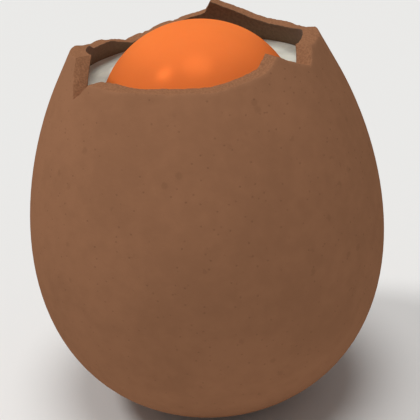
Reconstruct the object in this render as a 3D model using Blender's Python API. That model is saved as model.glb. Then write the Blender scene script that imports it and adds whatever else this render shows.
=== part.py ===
"""A brown hen's egg with its narrow end broken away, standing on its blunt end.

Three solids: the shell, an open cup with a jagged rim; the egg white that fills it to just under the
rim; and the yolk, a ball that floats in the white and stands proud of it. The origin is the middle of
the small flat spot that the egg stands on, and +Z runs up its long axis. Azimuths are in degrees round
that axis, 0 towards -Y and 90 towards +X.
"""

import bmesh
import bpy
import numpy as np

MM = 0.001

# The whole egg, before it was broken.
EGG_LENGTH = 57.1 * MM
EGG_WIDTH = 44.0 * MM
BELLY_SHIFT = 5.3 * MM  # how far the widest section lies below the middle of the long axis
FOOT_TRIM = 0.3 * MM  # what the flat spot takes off the blunt end
STRAIGHT_FROM = 43.5 * MM  # above this height the side runs on straight, up to the rim
WALL = 1.7 * MM

# The broken rim, corner by corner: (azimuth in degrees, height in millimetres).
RIM_CORNERS = (
    (-165, 45.8),
    (-146, 44.3),
    (-130, 45.5),
    (-114, 45.8),
    (-104, 46.8),
    (-71, 47.8),
    (-59, 44.0),
    (-52, 46.0),
    (-9, 46.2),
    (7, 46.2),
    (30, 47.2),
    (38, 48.4),
    (56, 46.3),
    (64, 48.0),
    (93, 47.9),
    (119, 46.4),
    (137, 46.3),
    (147, 46.7),
    (170, 49.0),
    (174, 47.3),
)
BEND_FROM = 39.0 * MM  # the shell's rings are level up to here, and then bend towards the rim
RINGS_TO_RIM = 3

# What it holds.
GAP = 0.3 * MM  # clearance between neighbouring solids
WHITE_LEVEL = 43.1 * MM  # on the axis
WHITE_SLOPE = 0.025  # how much the white's surface rises towards +X
MENISCUS_RISE = 0.35 * MM  # how far the white climbs at the shell
MENISCUS_WIDTH = 1.5 * MM
YOLK_RADIUS = 12.3 * MM
YOLK_HEIGHT = 37.4 * MM  # of its centre

# How finely the surfaces are faceted.
SHELL_COLUMNS = 72
WHITE_COLUMNS = 48
PROFILE_POINTS = 25  # of the egg curve, from pole to pole
HOLLOW_RINGS = 12
YOLK_SEGMENTS = 48
YOLK_RINGS = 18
CLOSEST = 0.1 * MM  # the least height between a side's lowest point and its first ring

SHELL_BROWN = (0.31, 0.144, 0.074, 1.0)
WHITE_CREAM = (0.71, 0.72, 0.63, 1.0)
YOLK_ORANGE = (0.98, 0.218, 0.049, 1.0)


def clear_scene():
    for thing in list(bpy.data.objects):
        bpy.data.objects.remove(thing, do_unlink=True)


def finish(name, colour, roughness):
    made = bpy.data.materials.new(name)
    made.use_nodes = True
    surface = made.node_tree.nodes["Principled BSDF"]
    surface.inputs["Base Color"].default_value = colour
    surface.inputs["Roughness"].default_value = roughness
    surface.inputs["Metallic"].default_value = 0.0
    return made


def add_object(name, bm, material):
    mesh = bpy.data.meshes.new(name)
    bm.to_mesh(mesh)
    bm.free()
    mesh.shade_smooth()
    mesh.set_sharp_from_angle(angle=np.radians(30.0))
    mesh.materials.append(material)
    made = bpy.data.objects.new(name, mesh)
    bpy.context.scene.collection.objects.link(made)


def egg_profile(depth, points):
    """(radii, heights) up the side from the blunt end: Hugelschaffer's egg curve, which runs on straight
    above STRAIGHT_FROM, or the line that lies depth inside it."""
    half = EGG_LENGTH / 2
    turn = np.linspace(0.0, np.pi, points)
    along = -half * np.cos(turn)
    spread = half**2 + 2 * BELLY_SHIFT * along + BELLY_SHIFT**2
    across = EGG_WIDTH / 2 * half * np.sin(turn) / np.sqrt(spread)
    heights = along + half - FOOT_TRIM

    straight = np.flatnonzero(heights > STRAIGHT_FROM)
    taper = np.gradient(across, heights)[straight[0]]
    across[straight] = across[straight[0]] + taper * (heights[straight] - heights[straight[0]])

    run, rise = np.gradient(across, turn), np.gradient(along, turn)
    step = np.hypot(run, rise)
    return np.maximum(across - depth * rise / step, 0.0), heights + depth * run / step


def radius_at(heights, depth):
    radii, levels = egg_profile(depth, 721)
    return np.interp(heights, levels, radii)


def azimuths(columns):
    return np.arange(columns) * 2 * np.pi / columns


def level_rings(depth, floor, top):
    """Level (radius, height) rings up one side of the wall, from just over floor to just under top."""
    _, levels = egg_profile(depth, PROFILE_POINTS)
    levels = levels[(levels > floor + CLOSEST) & (levels < top)]
    return [(radius_at(level, depth), level) for level in levels]


def skin(start, rings, end, columns):
    """A closed skin of rings about Z, from one point on the axis to another. A ring is a radius and a
    height, and either may be an array with a number for each column."""
    bm = bmesh.new()
    turn = azimuths(columns)
    loops = []
    for radii, heights in rings:
        places = np.broadcast_arrays(radii * np.sin(turn), -radii * np.cos(turn), heights)
        loops.append([bm.verts.new(place) for place in zip(*places)])
    for pole, loop in ((start, loops[0]), (end, loops[-1])):
        middle = bm.verts.new((0.0, 0.0, pole))
        for i in range(columns):
            bm.faces.new((loop[i - 1], loop[i], middle))
    for here, there in zip(loops, loops[1:]):
        for i in range(columns):
            bm.faces.new((here[i - 1], here[i], there[i], there[i - 1]))
    bmesh.ops.recalc_face_normals(bm, faces=bm.faces)
    return bm


def make_shell():
    """The skin runs up the outside, over a rim that is level along every radius, and down the inside."""
    corners, heights = np.transpose(RIM_CORNERS)
    columns = np.degrees(azimuths(SHELL_COLUMNS))
    rim = np.interp(columns, corners, heights, period=360.0) * MM

    def side(depth, floor):
        rings = level_rings(depth, floor, BEND_FROM - MM)
        for share in np.arange(RINGS_TO_RIM + 1) / RINGS_TO_RIM:
            bent = BEND_FROM + share * (rim - BEND_FROM)
            rings.append((radius_at(bent, depth), bent))
        return rings

    flat_spot = (radius_at(0.0, 0.0), 0.0)
    inner_bottom = WALL - FOOT_TRIM
    rings = [flat_spot, *side(0.0, 0.0), *reversed(side(WALL, inner_bottom))]
    add_object(
        "eggshell",
        skin(0.0, rings, inner_bottom, SHELL_COLUMNS),
        finish("eggshell_brown", SHELL_BROWN, 0.6),
    )


def make_white():
    """The skin runs up the hollow that holds the yolk, out over a surface that slopes and climbs a
    little where it wets the shell, and down the outer side. It lies GAP from the shell and the yolk."""
    turn = azimuths(WHITE_COLUMNS)
    slope = WHITE_SLOPE * np.sin(turn)

    hollow = YOLK_RADIUS + GAP
    brim = np.arccos((WHITE_LEVEL - YOLK_HEIGHT) / (hollow * np.hypot(1.0, slope))) - np.arctan(slope)
    rings = []
    for share in np.arange(1, HOLLOW_RINGS + 1) / HOLLOW_RINGS:
        angle = np.pi + share * (brim - np.pi)
        rings.append((hollow * np.sin(angle), YOLK_HEIGHT + hollow * np.cos(angle)))

    depth = WALL + GAP
    climb = WHITE_LEVEL + MENISCUS_RISE + slope * radius_at(WHITE_LEVEL, depth)
    edge = radius_at(climb, depth)
    for share in (1.0, 0.5, 0.2, 0.0):
        radii = edge - share * MENISCUS_WIDTH
        rings.append((radii, WHITE_LEVEL + slope * radii + MENISCUS_RISE * (1.0 - share) ** 3))

    bottom = depth - FOOT_TRIM
    rings += reversed(level_rings(depth, bottom, WHITE_LEVEL - 2 * MM))
    add_object(
        "egg_white",
        skin(YOLK_HEIGHT - hollow, rings, bottom, WHITE_COLUMNS),
        finish("egg_white_cream", WHITE_CREAM, 0.2),
    )


def make_yolk():
    bm = bmesh.new()
    bmesh.ops.create_uvsphere(
        bm, u_segments=YOLK_SEGMENTS, v_segments=YOLK_RINGS, radius=YOLK_RADIUS
    )
    bmesh.ops.translate(bm, verts=bm.verts, vec=(0.0, 0.0, YOLK_HEIGHT))
    add_object("yolk", bm, finish("yolk_orange", YOLK_ORANGE, 0.25))


clear_scene()
make_shell()
make_white()
make_yolk()
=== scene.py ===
"""A brown hen's egg with its narrow end broken away, full of white and with its yolk afloat."""

import math

import bpy
import numpy as np
from mathutils import Matrix, Vector, noise


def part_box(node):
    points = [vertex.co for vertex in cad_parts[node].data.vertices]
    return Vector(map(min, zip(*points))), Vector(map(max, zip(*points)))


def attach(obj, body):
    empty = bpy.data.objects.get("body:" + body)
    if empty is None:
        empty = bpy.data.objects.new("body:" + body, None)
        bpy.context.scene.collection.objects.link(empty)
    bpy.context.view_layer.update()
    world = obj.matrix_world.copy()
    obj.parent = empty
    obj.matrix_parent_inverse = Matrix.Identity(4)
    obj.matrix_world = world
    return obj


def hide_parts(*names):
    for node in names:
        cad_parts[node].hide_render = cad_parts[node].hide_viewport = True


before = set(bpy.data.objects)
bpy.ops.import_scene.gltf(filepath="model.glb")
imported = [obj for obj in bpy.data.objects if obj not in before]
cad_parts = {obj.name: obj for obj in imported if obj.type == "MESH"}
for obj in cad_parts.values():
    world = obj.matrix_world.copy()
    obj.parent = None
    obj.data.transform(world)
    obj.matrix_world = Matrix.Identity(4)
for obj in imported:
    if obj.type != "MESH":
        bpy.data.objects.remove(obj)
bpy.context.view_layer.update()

MM = 0.001

# ---------------------------------------------------------------- the egg's sizes

EGG_LENGTH = 57.1 * MM
EGG_WIDTH = 44.0 * MM
BELLY_SHIFT = 5.3 * MM  # how far the widest section lies below the middle of the long axis
FOOT_TRIM = 0.3 * MM  # what the flat spot takes off the blunt end
STRAIGHT_FROM = 43.5 * MM  # above this height the side runs on straight, up to the break
WALL = 1.7 * MM
FOOT = 0.0
INNER_FOOT = WALL - FOOT_TRIM

# The break, corner by corner: (azimuth in degrees from -Y towards +X, height in millimetres).
RIM_CORNERS = (
    (-165, 45.8),
    (-146, 44.3),
    (-130, 45.5),
    (-114, 45.8),
    (-104, 46.8),
    (-71, 47.8),
    (-59, 44.0),
    (-52, 46.0),
    (-9, 46.2),
    (7, 46.2),
    (30, 47.2),
    (38, 48.4),
    (56, 46.3),
    (64, 48.0),
    (93, 47.9),
    (119, 46.4),
    (137, 46.3),
    (147, 46.7),
    (170, 49.0),
    (174, 47.3),
)
BEND_FROM = 39.0 * MM  # above this height the shell's rings bend towards the break
LEVEL_BREAK = 46.7 * MM  # height of the break while the shell is still a turned cup

# How the break departs from straight lines between its corners. Each wave is (length, depth, the
# level of the noise that it follows).
RIPPLES = ((3.0 * MM, 0.10 * MM, 3.0), (0.9 * MM, 0.05 * MM, 10.0))
TILT = (5.0 * MM, 0.30 * MM, 20.0)  # lifts the outer edge above the inner one, or drops it below
GRAIN = (0.45 * MM, 0.12 * MM)  # (size, depth)
CHIPS = 26
CHIP_WIDTH = (0.4 * MM, 1.0 * MM)
CHIP_DEPTH = (0.10 * MM, 0.30 * MM)
CHIP_REACH = 0.4  # how far across the break a chip runs, as a share
CHIP_SEED = 11

# What the shell holds.
WHITE_LEVEL = 43.1 * MM  # on the axis
WHITE_SLOPE = 0.025  # how much the white's surface rises towards +X
WALL_CURL = (1.5 * MM, 0.35 * MM)  # (width, rise) where the white wets the shell
YOLK_CURL = (0.9 * MM, 0.25 * MM)
SEAT = 0.15 * MM  # how far the white reaches into the shell and into the yolk
SWELL = (4.5 * MM, 0.16 * MM)  # (size, depth) of the unevenness of the white's surface
SLACK = (6.0 * MM, 0.10 * MM)  # and of the yolk

yolk_low, yolk_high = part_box("yolk")
YOLK_RADIUS = (yolk_high[2] - yolk_low[2]) / 2
YOLK_CENTRE = (yolk_high[2] + yolk_low[2]) / 2

# How finely the pieces are turned, round their axis and along their sections.
SHELL_STEPS = 720
WHITE_STEPS = 288
OUTSIDE_RINGS = 64  # on a whole egg curve from pole to pole, as the two below are
INSIDE_RINGS = 42
WHITE_SIDE_RINGS = 48
BENT_RINGS = 22  # on the outside above BEND_FROM
BREAK_RINGS = 12
LINING_RINGS = 18  # on the inside down to just under the white
HOLLOW_RINGS = 40
SURFACE_RINGS = 30
YOLK_SUBDIVISIONS = 6
EDGE_ROUND = 0.07 * MM  # the bevel along the break's two edges
CLEAR = 0.1 * MM  # keeps the lowest ring of a side off its foot
NEAR = 0.01 * MM  # as good as touching


def egg_outline(depth=0.0, points=1441):
    """(radii, heights) up the side from the blunt end: Hugelschaffer's egg curve, which runs on straight
    above STRAIGHT_FROM, or the line that lies depth inside it."""
    half = EGG_LENGTH / 2
    turn = np.linspace(0.0, np.pi, points)
    along = -half * np.cos(turn)
    spread = half**2 + 2 * BELLY_SHIFT * along + BELLY_SHIFT**2
    across = EGG_WIDTH / 2 * half * np.sin(turn) / np.sqrt(spread)
    heights = along + half - FOOT_TRIM

    straight = np.flatnonzero(heights > STRAIGHT_FROM)
    taper = np.gradient(across, heights)[straight[0]]
    across[straight] = across[straight[0]] + taper * (heights[straight] - heights[straight[0]])

    run, rise = np.gradient(across, turn), np.gradient(along, turn)
    step = np.hypot(run, rise)
    return np.maximum(across - depth * rise / step, 0.0), heights + depth * run / step


OUTER_RADII, OUTER_HEIGHTS = egg_outline()
INNER_RADII, INNER_HEIGHTS = egg_outline(WALL)


def outer_radius(heights):
    return np.interp(heights, OUTER_HEIGHTS, OUTER_RADII)


def inner_radius(heights):
    return np.interp(heights, INNER_HEIGHTS, INNER_RADII)


def rounding_heights(depth, rings, top):
    """Heights of rings from the foot of one side of the wall up to top, close together where it
    curves most."""
    _, heights = egg_outline(depth, rings)
    return heights[(heights > max(heights[0], FOOT) + CLEAR) & (heights < top)]


# ---------------------------------------------------------------- modelling by operator


def start_fresh():
    """Object mode, with nothing selected."""
    if bpy.context.mode != "OBJECT":
        bpy.ops.object.mode_set(mode="OBJECT")
    bpy.ops.object.select_all(action="DESELECT")


def draw_line(name, points):
    """A new object in edit mode that holds one line, drawn through (radius, height) points by
    extruding its end from each to the next."""
    start_fresh()
    bpy.ops.mesh.primitive_plane_add(size=MM)
    made = bpy.context.object
    made.name = made.data.name = name
    bpy.ops.object.mode_set(mode="EDIT")
    bpy.ops.mesh.select_mode(type="VERT")
    bpy.ops.mesh.select_all(action="SELECT")
    bpy.ops.mesh.merge(type="CENTER")
    places = [Vector((radius, 0.0, height)) for radius, height in points]
    bpy.ops.transform.translate(value=places[0])
    for here, there in zip(places, places[1:]):
        bpy.ops.mesh.extrude_region_move(TRANSFORM_OT_translate={"value": there - here})
    return made


def turn_line(made, steps):
    """Turns the line in hand once round Z into a closed skin that faces outwards."""
    bpy.ops.mesh.select_all(action="SELECT")
    bpy.ops.mesh.spin(steps=steps, angle=2 * math.pi, center=(0, 0, 0), axis=(0, 0, 1))
    bpy.ops.mesh.select_all(action="SELECT")
    bpy.ops.mesh.remove_doubles(threshold=0.002 * MM)
    bpy.ops.mesh.normals_make_consistent(inside=False)
    start_fresh()
    return made


def points_of(made):
    spots = np.empty(3 * len(made.data.vertices), np.float32)
    made.data.vertices.foreach_get("co", spots)
    return spots.reshape(-1, 3).astype(float)


def round_axis(spots):
    """(radii, azimuths) of points, with azimuths in radians from -Y towards +X."""
    return np.hypot(spots[:, 0], spots[:, 1]), np.arctan2(spots[:, 0], -spots[:, 1])


def from_axis(radii, azimuths, heights):
    return np.transpose((radii * np.sin(azimuths), -radii * np.cos(azimuths), heights))


def move_points(made, spots):
    made.data.vertices.foreach_set("co", spots.astype(np.float32).ravel())
    made.data.update()


def mark_points(made, name, indices):
    made.vertex_groups.new(name=name).add(indices.tolist(), 1.0, "REPLACE")


def roughen(made, name, size, depth, group=""):
    """Pushes the skin in and out by up to half of depth, in lumps of a given size."""
    lumps = bpy.data.textures.new(name, "CLOUDS")
    lumps.noise_scale = size
    lumps.noise_depth = 2
    push = made.modifiers.new(name, "DISPLACE")
    push.texture = lumps
    push.texture_coords = "LOCAL"
    push.strength = depth
    push.mid_level = 0.5
    push.vertex_group = group
    bpy.context.view_layer.objects.active = made
    bpy.ops.object.modifier_apply(modifier=name)


def put_on(made, node, slot, *finishes):
    """The finished piece takes its materials, rides on the body and stands for its CAD node."""
    for finish in finishes:
        made.data.materials.append(finish.material)
    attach(made, "root")
    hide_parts(node)


# ---------------------------------------------------------------- shader sums


class Signal:
    """A value that runs through a tree of nodes, and can be used in sums."""

    def __init__(self, nodes, socket):
        self.nodes = nodes
        self.socket = socket

    def __add__(self, other):
        return self.nodes.sum("ADD", self, other)

    def __sub__(self, other):
        return self.nodes.sum("SUBTRACT", self, other)

    def __rsub__(self, other):
        return self.nodes.sum("SUBTRACT", other, self)

    def __mul__(self, other):
        return self.nodes.sum("MULTIPLY", self, other)

    def __gt__(self, other):
        return self.nodes.sum("GREATER_THAN", self, other)

    __radd__ = __add__
    __rmul__ = __mul__


class Nodes:
    """The node tree of a material or of the world."""

    def __init__(self, tree):
        self.tree = tree

    def feed(self, socket, value):
        if isinstance(value, Signal):
            self.tree.links.new(value.socket, socket)
        else:
            socket.default_value = value

    def add(self, kind, settings=None, inputs=None, output=0):
        node = self.tree.nodes.new(kind)
        for name, value in (settings or {}).items():
            setattr(node, name, value)
        for name, value in (inputs or {}).items():
            self.feed(node.inputs[name], value)
        return Signal(self, node.outputs[output])

    def sum(self, operation, first, second):
        return self.add("ShaderNodeMath", {"operation": operation}, {0: first, 1: second})

    def blend(self, share, first, second):
        """The first colour where share is 0, the second where it is 1."""
        colours = {0: share, 6: first, 7: second}  # by number: its colour sockets share their names
        return self.add("ShaderNodeMix", {"data_type": "RGBA"}, colours, 2)


class Finish(Nodes):
    """A material with a Principled surface, and the nodes that feed it."""

    def __init__(self, name, **sockets):
        self.material = bpy.data.materials.new(name)
        self.material.use_nodes = True
        super().__init__(self.material.node_tree)
        self.surface = self.tree.nodes["Principled BSDF"]
        self.place = self.add("ShaderNodeTexCoord", output="Object")
        self.set(**sockets)

    def set(self, **sockets):
        """Feeds the surface's sockets, named with _ for a space."""
        for name, value in sockets.items():
            self.feed(self.surface.inputs[name.replace("_", " ")], value)

    def fade(self, value, start, end):
        """0 where value is at start or before it, 1 from end on, and smooth between."""
        inputs = {"Value": value, "From Min": start, "From Max": end}
        return self.add("ShaderNodeMapRange", {"interpolation_type": "SMOOTHSTEP"}, inputs)

    def noise(self, size, detail=2.0):
        """Soft noise from 0 to 1 in lumps about size across."""
        inputs = {"Vector": self.place, "Scale": 1 / size, "Detail": detail}
        return self.add("ShaderNodeTexNoise", None, inputs)

    def cells(self, size):
        """Distance from the nearest of many scattered points, 1 being their spacing of size."""
        return self.add("ShaderNodeTexVoronoi", None, {"Vector": self.place, "Scale": 1 / size})

    def mottle(self, pattern, colour, low, high):
        """The colour, lighter and darker between two factors, as noise about 0.5 rises."""
        return self.blend(self.fade(pattern, 0.35, 0.65), shade(colour, low), shade(colour, high))

    def bump(self, height, depth):
        """A normal for a relief that is depth high where height is 1."""
        return self.add("ShaderNodeBump", None, {"Height": height, "Distance": depth})


def shade(colour, factor=1.0):
    return (*(channel * factor for channel in colour), 1.0)


# ---------------------------------------------------------------- finishes

SHELL_BROWN = (0.310, 0.1465, 0.0775)
BREAK_BROWN = (0.306, 0.141, 0.072)
# painted shade: the inner wall's brown is darkened to stand for the shade that falls inside the shell
SHADED_INSIDE_BROWN = (0.138, 0.090, 0.053)
WHITE_CREAM = (0.735, 0.742, 0.650)
YOLK_ORANGE = (0.985, 0.218, 0.049)
YOLK_SHADE_SHARE = 0.89  # painted shade: its tone towards the white, as a share of its tone on top
YOLK_SHADE_HEIGHTS = (45.7 * MM, 48.3 * MM)  # heights where the painted shade ends and the plain top tone starts
YOLK_GLOSS = (1.0, 0.3, 0.1)  # the tint of its highlights where they are seen at a slant


def outside_finish():
    """Matt brown with soft cloudy tones, faint freckles and fine pores."""
    skin = Finish("shell_outside", Specular_IOR_Level=0.0)
    clouds = skin.noise(11 * MM) * 0.6 + skin.noise(1.6 * MM, 4.0) * 0.4
    tone = skin.mottle(clouds, SHELL_BROWN, 0.94, 1.06)
    ragged = skin.cells(2.6 * MM) + skin.noise(0.5 * MM) * 0.12
    chosen = skin.noise(2.0 * MM) > 0.53
    freckles = skin.fade(ragged, 0.27, 0.16) * chosen
    tone = skin.blend(freckles * 0.22, tone, shade(SHELL_BROWN, 0.55))
    pores = skin.fade(skin.cells(0.95 * MM), 0.17, 0.06)
    tone = skin.blend(pores * 0.30, tone, shade(SHELL_BROWN, 0.45))
    relief = (skin.noise(0.42 * MM) + skin.noise(1.4 * MM, 1.0)) * 0.5 - pores * 0.6
    skin.set(Base_Color=tone, Normal=skin.bump(relief, 0.035 * MM))
    skin.set(Roughness=0.52 + skin.noise(0.8 * MM) * 0.14)
    return skin


def break_finish():
    """The fractured edge of the wall, finely grained."""
    edge = Finish("shell_break", Roughness=0.75, Specular_IOR_Level=0.0)
    grain = edge.noise(0.22 * MM, 3.0)
    edge.set(Base_Color=edge.mottle(grain, BREAK_BROWN, 0.86, 1.12), Normal=edge.bump(grain, 0.06 * MM))
    return edge


def inside_finish():
    """The inner wall, its brown darkened with painted shade, with the faint weave of its skin."""
    lining = Finish("shell_inside", Roughness=0.55, Specular_IOR_Level=0.1)
    weave = lining.noise(0.35 * MM, 4.0)
    # painted shade: the lining takes the darkened brown
    lining.set(Base_Color=lining.mottle(weave, SHADED_INSIDE_BROWN, 0.88, 1.12))
    lining.set(Normal=lining.bump(weave, 0.03 * MM))
    return lining


def white_finish():
    """Wet, opaque egg white, a little cloudy."""
    wet = Finish("egg_white", Specular_IOR_Level=0.3)
    wet.set(Subsurface_Weight=0.25, Subsurface_Radius=(0.9, 0.9, 0.7), Subsurface_Scale=1.0 * MM)
    clouds = wet.noise(2.2 * MM, 3.0)
    wet.set(Base_Color=wet.mottle(clouds, WHITE_CREAM, 0.93, 1.05), Roughness=0.16 + clouds * 0.16)
    wet.set(Normal=wet.bump(wet.noise(0.9 * MM), 0.03 * MM))
    return wet


def yolk_finish():
    """Orange yolk in its smooth skin, darkened with painted shade towards the white, with soft orange
    highlights.
    """
    skin = Finish("yolk", Specular_IOR_Level=0.0, Metallic=0.028, Specular_Tint=shade(YOLK_GLOSS))
    skin.set(Subsurface_Weight=0.15, Subsurface_Radius=(1.0, 0.4, 0.1), Subsurface_Scale=1.2 * MM)
    clouds = skin.noise(4.0 * MM, 3.0)
    height = skin.add("ShaderNodeSeparateXYZ", None, {"Vector": skin.place}, "Z")
    # painted shade: the orange is darkened towards the white and left lighter on top
    shaded_tone = skin.mottle(clouds, YOLK_ORANGE, YOLK_SHADE_SHARE - 0.01, YOLK_SHADE_SHARE + 0.01)
    bright = skin.mottle(clouds, YOLK_ORANGE, 0.98, 1.0)
    tone = skin.blend(skin.fade(height, *YOLK_SHADE_HEIGHTS), shaded_tone, bright)
    skin.set(Base_Color=tone, Roughness=0.225 + clouds * 0.06)
    skin.set(Normal=skin.bump(skin.noise(0.6 * MM), 0.006 * MM))
    return skin


# ---------------------------------------------------------------- the shell


def wall_section():
    """(radius, height) points round the section of a level-topped cup: from the middle of its foot
    up the outside, over the break and down the inside to the axis."""
    section = [(0.0, FOOT), (outer_radius(FOOT), FOOT)]
    below_bend = rounding_heights(0.0, OUTSIDE_RINGS, BEND_FROM - 0.5 * MM)
    heights = np.append(below_bend, np.linspace(BEND_FROM, LEVEL_BREAK - EDGE_ROUND, BENT_RINGS))
    section += zip(outer_radius(heights), heights)

    outer, inner = outer_radius(LEVEL_BREAK), inner_radius(LEVEL_BREAK)
    across = np.linspace(outer - EDGE_ROUND, inner + EDGE_ROUND, BREAK_RINGS)
    section += [(radius, LEVEL_BREAK) for radius in across]

    above_white = np.linspace(LEVEL_BREAK - EDGE_ROUND, WHITE_LEVEL - 2 * MM, LINING_RINGS)
    hidden = rounding_heights(WALL, INSIDE_RINGS, above_white[-1] - 0.5 * MM)[::-1]
    heights = np.append(above_white, hidden)
    section += zip(inner_radius(heights), heights)
    section.append((0.0, INNER_FOOT))
    return section


def wave(azimuths, length, depth, level):
    """Smooth noise from -depth to depth round the break, in waves about length long."""
    reach = outer_radius(LEVEL_BREAK) / length
    places = from_axis(reach, azimuths, np.full(len(azimuths), level))
    return depth * np.array([noise.noise(Vector(place)) for place in places])


def chipping(azimuths):
    """How deep the chips go that are knocked out of the break's outer edge."""
    chance = np.random.default_rng(CHIP_SEED)
    chips = np.zeros(len(azimuths))
    for _ in range(CHIPS):
        middle = chance.uniform(-np.pi, np.pi)
        width = chance.uniform(*CHIP_WIDTH) / outer_radius(LEVEL_BREAK)
        depth = chance.uniform(*CHIP_DEPTH)
        off = np.abs((azimuths - middle + np.pi) % (2 * np.pi) - np.pi) / width
        chips = np.maximum(chips, depth * np.clip(1.0 - off, 0.0, 1.0))
    return chips


def break_height(azimuths, across):
    """Height of the break at each azimuth, and at each share of the way across from the outside."""
    columns, column = np.unique(np.round(azimuths, 5), return_inverse=True)
    corners, heights = np.transpose(RIM_CORNERS)
    line = np.interp(np.degrees(columns), corners, heights, period=360.0) * MM
    for ripple in RIPPLES:
        line += wave(columns, *ripple)
    tilt = wave(columns, *TILT)
    chip = chipping(columns)[column] * np.clip(1.0 - across / CHIP_REACH, 0.0, 1.0)
    return line[column] + tilt[column] * (0.5 - across) - chip


def bend_to_break(spots, azimuths, across):
    """Raises or lowers the cup's rings above BEND_FROM, so that the topmost ones follow the break."""
    share = (spots[:, 2] - BEND_FROM) / (LEVEL_BREAK - BEND_FROM)
    heights = BEND_FROM + share * (break_height(azimuths, across) - BEND_FROM)
    outer, inner = outer_radius(heights), inner_radius(heights)
    return from_axis(outer + across * (inner - outer), azimuths, heights)


def make_shell():
    shell = turn_line(draw_line("shell", wall_section()), SHELL_STEPS)
    spots = points_of(shell)
    radii, azimuths = round_axis(spots)
    heights = spots[:, 2].copy()
    outer, inner = outer_radius(heights), inner_radius(heights)
    across = np.clip((outer - radii) / (outer - inner), 0.0, 1.0)
    broken = heights > LEVEL_BREAK - EDGE_ROUND / 2
    lined = (radii < inner + NEAR) & (heights > INNER_FOOT - NEAR)

    bent = heights > BEND_FROM
    spots[bent] = bend_to_break(spots[bent], azimuths[bent], across[bent])
    move_points(shell, spots)
    mark_points(shell, "break", np.flatnonzero(broken))
    roughen(shell, "grains", *GRAIN, "break")

    for face in shell.data.polygons:
        corners = list(face.vertices)
        if broken[corners].all():
            face.material_index = 1
        elif (lined | broken)[corners].all():
            face.material_index = 2

    start_fresh()
    shell.select_set(True)
    bpy.context.view_layer.objects.active = shell
    bpy.ops.object.shade_smooth_by_angle(angle=math.radians(40))
    put_on(shell, "eggshell", "shell", outside_finish(), break_finish(), inside_finish())


# ---------------------------------------------------------------- the white and the yolk

HOLLOW = YOLK_RADIUS - SEAT
BRIM_RADIUS = math.sqrt(HOLLOW**2 - (WHITE_LEVEL - YOLK_CENTRE) ** 2)
EDGE_RADIUS = inner_radius(WHITE_LEVEL) + SEAT


def white_section():
    """(radius, height) points round half the white's section while its surface is flat: from the
    bottom of the hollow that the yolk lies in, out over the surface and down the outer side."""
    under_brim = math.pi - math.asin(BRIM_RADIUS / HOLLOW)
    turn = np.linspace(0.0, under_brim - 1.0 * MM / HOLLOW, HOLLOW_RINGS)
    section = list(zip(HOLLOW * np.sin(turn), YOLK_CENTRE - HOLLOW * np.cos(turn)))
    surface = np.linspace(BRIM_RADIUS, EDGE_RADIUS, SURFACE_RINGS)
    section += [(radius, WHITE_LEVEL) for radius in surface]
    heights = rounding_heights(WALL, WHITE_SIDE_RINGS, WHITE_LEVEL - 1.5 * MM)[::-1]
    section += zip(inner_radius(heights) + SEAT, heights)
    section.append((0.0, INNER_FOOT - SEAT))
    return section


def curl(distance, width):
    """1 at an edge, falling to 0 at width from it."""
    return np.clip(1.0 - distance / width, 0.0, 1.0) ** 2.5


def slope_surface(spots):
    """Points of the white's flat surface, once it slopes and curls up at the yolk and the shell."""
    radii, azimuths = round_axis(spots)
    slope = WHITE_SLOPE * np.sin(azimuths)
    contact = WHITE_LEVEL + slope * BRIM_RADIUS + YOLK_CURL[1]
    brim = np.sqrt(HOLLOW**2 - (contact - YOLK_CENTRE) ** 2)
    edge = inner_radius(WHITE_LEVEL + slope * EDGE_RADIUS + WALL_CURL[1]) + SEAT
    radii = brim + (radii - BRIM_RADIUS) / (EDGE_RADIUS - BRIM_RADIUS) * (edge - brim)
    heights = WHITE_LEVEL + slope * radii
    heights += YOLK_CURL[1] * curl(radii - brim, YOLK_CURL[0])
    heights += WALL_CURL[1] * curl(edge - radii, WALL_CURL[0])
    return from_axis(radii, azimuths, heights)


def make_white():
    white = turn_line(draw_line("white", white_section()), WHITE_STEPS)
    spots = points_of(white)
    surface = np.flatnonzero(spots[:, 2] > WHITE_LEVEL - NEAR)
    spots[surface] = slope_surface(spots[surface])
    move_points(white, spots)
    mark_points(white, "surface", surface)
    roughen(white, "swell", *SWELL, "surface")
    white.data.shade_smooth()
    put_on(white, "egg_white", "white", white_finish())


def make_yolk():
    start_fresh()
    bpy.ops.mesh.primitive_ico_sphere_add(
        subdivisions=YOLK_SUBDIVISIONS, radius=YOLK_RADIUS, location=(0.0, 0.0, YOLK_CENTRE)
    )
    yolk = bpy.context.object
    yolk.name = yolk.data.name = "yolk_ball"
    bpy.ops.object.transform_apply(location=True, rotation=True, scale=True)
    roughen(yolk, "slack", *SLACK)
    yolk.data.shade_smooth()
    put_on(yolk, "yolk", "yolk", yolk_finish())


# ---------------------------------------------------------------- floor, lights and camera

FLOOR_RADIUS = 3.0
PALE = (0.85, 0.845, 0.83)
SKY_LIGHT = 0.23

# (direction from the egg, share of the light, how wide it looks from the egg in degrees)
LAMPS = {
    "key": (Vector((-0.521, -0.076, 0.850)), 0.334, 12.0),
    "top": (Vector((0.002, -0.121, 0.993)), 0.458, 28.0),
}
FLOOR_LIGHT = SKY_LIGHT + sum(share * away.normalized().z for away, share, _ in LAMPS.values())

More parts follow.
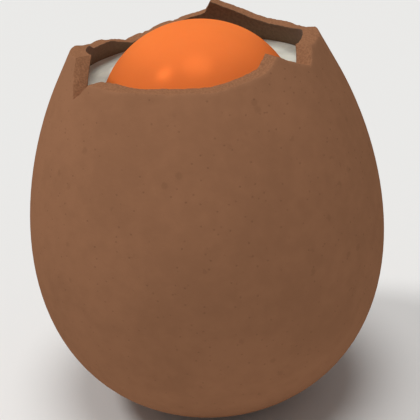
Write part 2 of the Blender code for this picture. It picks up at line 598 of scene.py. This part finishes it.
VIEW_ELEVATION = math.radians(24.7)
VIEW_DISTANCE = 145.9 * MM
VIEW_ROLL = math.radians(3.6)
VIEW_AIM = Vector((0.46 * MM, 0.0, 25.59 * MM))
LENS = 100.0


def make_floor():
    start_fresh()
    bpy.ops.mesh.primitive_circle_add(vertices=96, radius=FLOOR_RADIUS, fill_type="NGON")
    floor = bpy.context.object
    floor.name = "floor"
    paper = Finish("pale_floor", Base_Color=shade(PALE), Roughness=0.9, Specular_IOR_Level=0.0)
    floor.data.materials.append(paper.material)


def make_sky():
    """A sky that gives a low, even light, and looks as pale as the floor to the camera and in
    reflections."""
    world = bpy.data.worlds.new("studio")
    world.use_nodes = True
    bpy.context.scene.world = world
    sky = Nodes(world.node_tree)
    camera, glossy, through = (
        sky.add("ShaderNodeLightPath", output=f"Is {kind} Ray")
        for kind in ("Camera", "Glossy", "Transmission")
    )
    seen = camera + glossy + through
    colour = sky.blend(seen, shade((1, 1, 1), SKY_LIGHT), shade(PALE, FLOOR_LIGHT))
    sky.feed(sky.tree.nodes["Background"].inputs["Color"], colour)


def make_lamps():
    for name, (away, share, width) in LAMPS.items():
        lamp = bpy.data.lights.new(name, "SUN")
        lamp.energy = share * math.pi
        lamp.angle = math.radians(width)
        placed = bpy.data.objects.new(name, lamp)
        bpy.context.scene.collection.objects.link(placed)
        placed.rotation_euler = away.to_track_quat("Z", "Y").to_euler()


def make_camera():
    camera = bpy.data.cameras.new("camera")
    camera.lens = LENS
    camera.clip_start = 5 * MM
    camera.clip_end = 3 * FLOOR_RADIUS
    placed = bpy.data.objects.new("camera", camera)
    bpy.context.scene.collection.objects.link(placed)
    back = Vector((0.0, -math.cos(VIEW_ELEVATION), math.sin(VIEW_ELEVATION)))
    placed.location = VIEW_AIM + back * VIEW_DISTANCE
    level = back.to_track_quat("Z", "Y").to_matrix()
    placed.rotation_euler = (level @ Matrix.Rotation(-VIEW_ROLL, 3, "Z")).to_euler()
    bpy.context.scene.camera = placed


make_shell()
make_white()
make_yolk()
make_floor()
make_sky()
make_lamps()
make_camera()
bpy.context.scene.view_settings.view_transform = "Standard"
